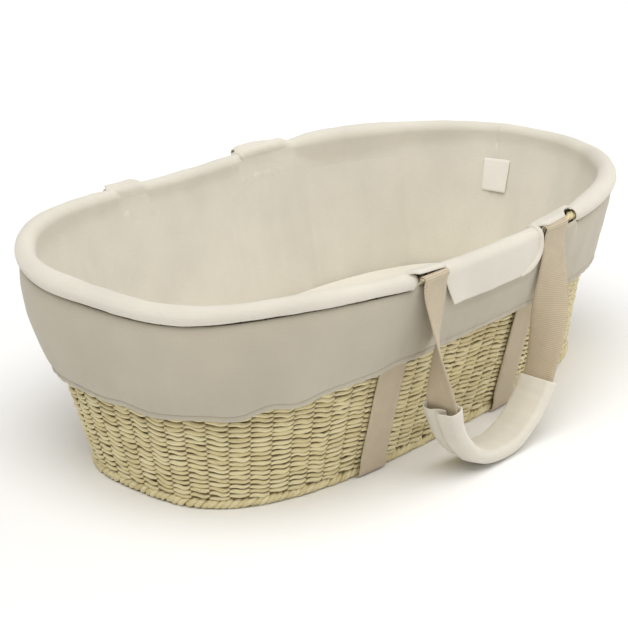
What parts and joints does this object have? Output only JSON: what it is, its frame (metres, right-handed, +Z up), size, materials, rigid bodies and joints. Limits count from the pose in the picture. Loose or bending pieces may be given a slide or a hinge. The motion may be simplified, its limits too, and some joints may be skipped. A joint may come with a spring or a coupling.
{
  "type": "moses basket",
  "caption": "Oval woven baby carrying basket with padded fabric liner, outer skirt, mattress, fold-over side flaps and webbing handles with padded grips.",
  "frame": {"origin": "on the floor, under the middle of the basket", "axes": "+X towards the head end, +Y towards the far side, +Z up"},
  "size_m": [0.8416, 0.535, 0.2679],
  "materials": {
    "straw": "matt twisted maize-leaf cord",
    "hoop_steel": "drawn wire",
    "jersey": "cream cotton jersey",
    "skirt_cloth": "cream cotton jersey",
    "mattress_cloth": "cream cotton",
    "wadding": "polyester wadding",
    "webbing": "ribbed cotton webbing",
    "elastic": "knitted elastic",
    "foam": "open-cell foam",
    "hook_tape": "hook-and-loop tape",
    "label_tape": "plain woven tape"
  },
  "bodies": {
    "basket": {"woven_wall": "straw", "woven_base": "straw", "foot_border": "straw", "rim_border": "straw", "rim_hoop": "hoop_steel", "liner_wall": "jersey", "liner_floor": "jersey", "foot_rim_wadding": "wadding", "head_rim_wadding": "wadding", "foot_rim_cover": "jersey", "head_rim_cover": "jersey", "near_rim_facing": "jersey", "far_rim_facing": "jersey", "outer_skirt": "skirt_cloth", "skirt_hem": "skirt_cloth", "hem_elastic": "elastic", "care_label": "label_tape", "foot_belly_strap": "webbing", "head_belly_strap": "webbing"},
    "near_handle": {"near_handle_webbing": "webbing", "near_grip_sleeve": "jersey", "near_grip_fastener": "hook_tape"},
    "far_handle": {"far_handle_webbing": "webbing", "far_grip_sleeve": "jersey", "far_grip_fastener": "hook_tape"},
    "near_flap": {"near_flap": "jersey", "near_flap_bead": "jersey"},
    "far_flap": {"far_flap": "jersey", "far_flap_bead": "jersey"},
    "mattress": {"mattress_foam": "foam", "mattress_cover_bottom": "mattress_cloth", "mattress_cover_top": "mattress_cloth", "mattress_piping": "mattress_cloth"}
  },
  "joints": [
    {"name": "near_handle_swing", "type": "hinge", "parent": "basket", "child": "near_handle", "pos_m": [0, -0.243, 0.253], "axis": [-1, 0, 0], "range_deg": [0, 215]},
    {"name": "far_handle_swing", "type": "hinge", "parent": "basket", "child": "far_handle", "pos_m": [0, 0.243, 0.253], "axis": [1, 0, 0], "range_deg": [0, 215]},
    {"name": "near_flap_lift", "type": "hinge", "parent": "basket", "child": "near_flap", "pos_m": [0, -0.2305, 0.2572], "axis": [-1, 0, 0], "range_deg": [0, 150]},
    {"name": "far_flap_lift", "type": "hinge", "parent": "basket", "child": "far_flap", "pos_m": [0, 0.2305, 0.2572], "axis": [1, 0, 0], "range_deg": [0, 150]},
    {"name": "mattress_lift", "type": "slide", "parent": "basket", "child": "mattress", "axis": [0, 0, 1], "range_m": [0, 0.26]}
  ]
}
